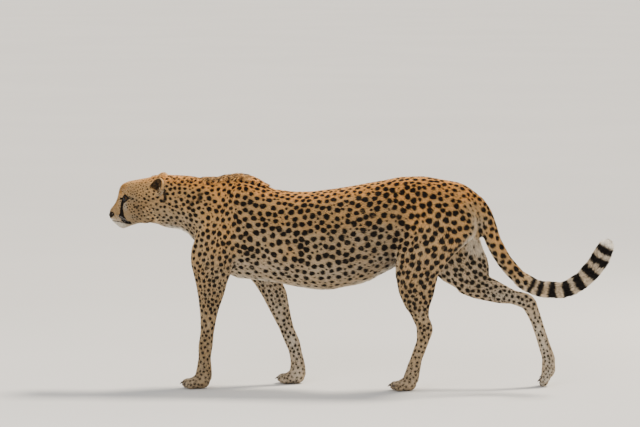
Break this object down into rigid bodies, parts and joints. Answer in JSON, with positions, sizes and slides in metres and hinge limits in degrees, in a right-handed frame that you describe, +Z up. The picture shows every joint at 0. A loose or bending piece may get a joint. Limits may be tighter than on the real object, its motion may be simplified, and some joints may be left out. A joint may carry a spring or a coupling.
{
  "type": "cheetah",
  "caption": "Life-size still model of an adult cheetah walking low and alert, with its head level with its back and its ringed tail curled up at the tip.",
  "frame": {"origin": "on the floor, at the middle of the bounding box's base", "axes": "-X the way the cheetah faces, +X towards the tail, -Y its left side, +Z up"},
  "size_m": [1.6856, 0.2462, 0.7136],
  "materials": {
    "coat": "short fur, tawny with black spots",
    "pale_coat": "short pale fur",
    "ear_coat": "short dark fur",
    "nose_leather": "bare moist skin",
    "eye": "wet and clear",
    "claw": "dark horn",
    "whisker": "stiff pale hair"
  },
  "bodies": {
    "root": {"ear_left": "ear_coat", "ear_right": "ear_coat", "eye_left": "eye", "eye_right": "eye", "forearm_left": "coat", "forearm_right": "coat", "forepaw_left": "coat", "forepaw_right": "coat", "head": "coat", "hindpaw_left": "coat", "hindpaw_right": "coat", "jaw": "pale_coat", "neck": "coat", "nose": "nose_leather", "shank_left": "coat", "shank_right": "coat", "tail_base": "coat", "tail_middle": "coat", "tail_rear": "coat", "tail_tip": "coat", "thigh_left": "coat", "thigh_right": "coat", "trunk": "coat", "upper_arm_left": "coat", "upper_arm_right": "coat"}
  },
  "joints": []
}
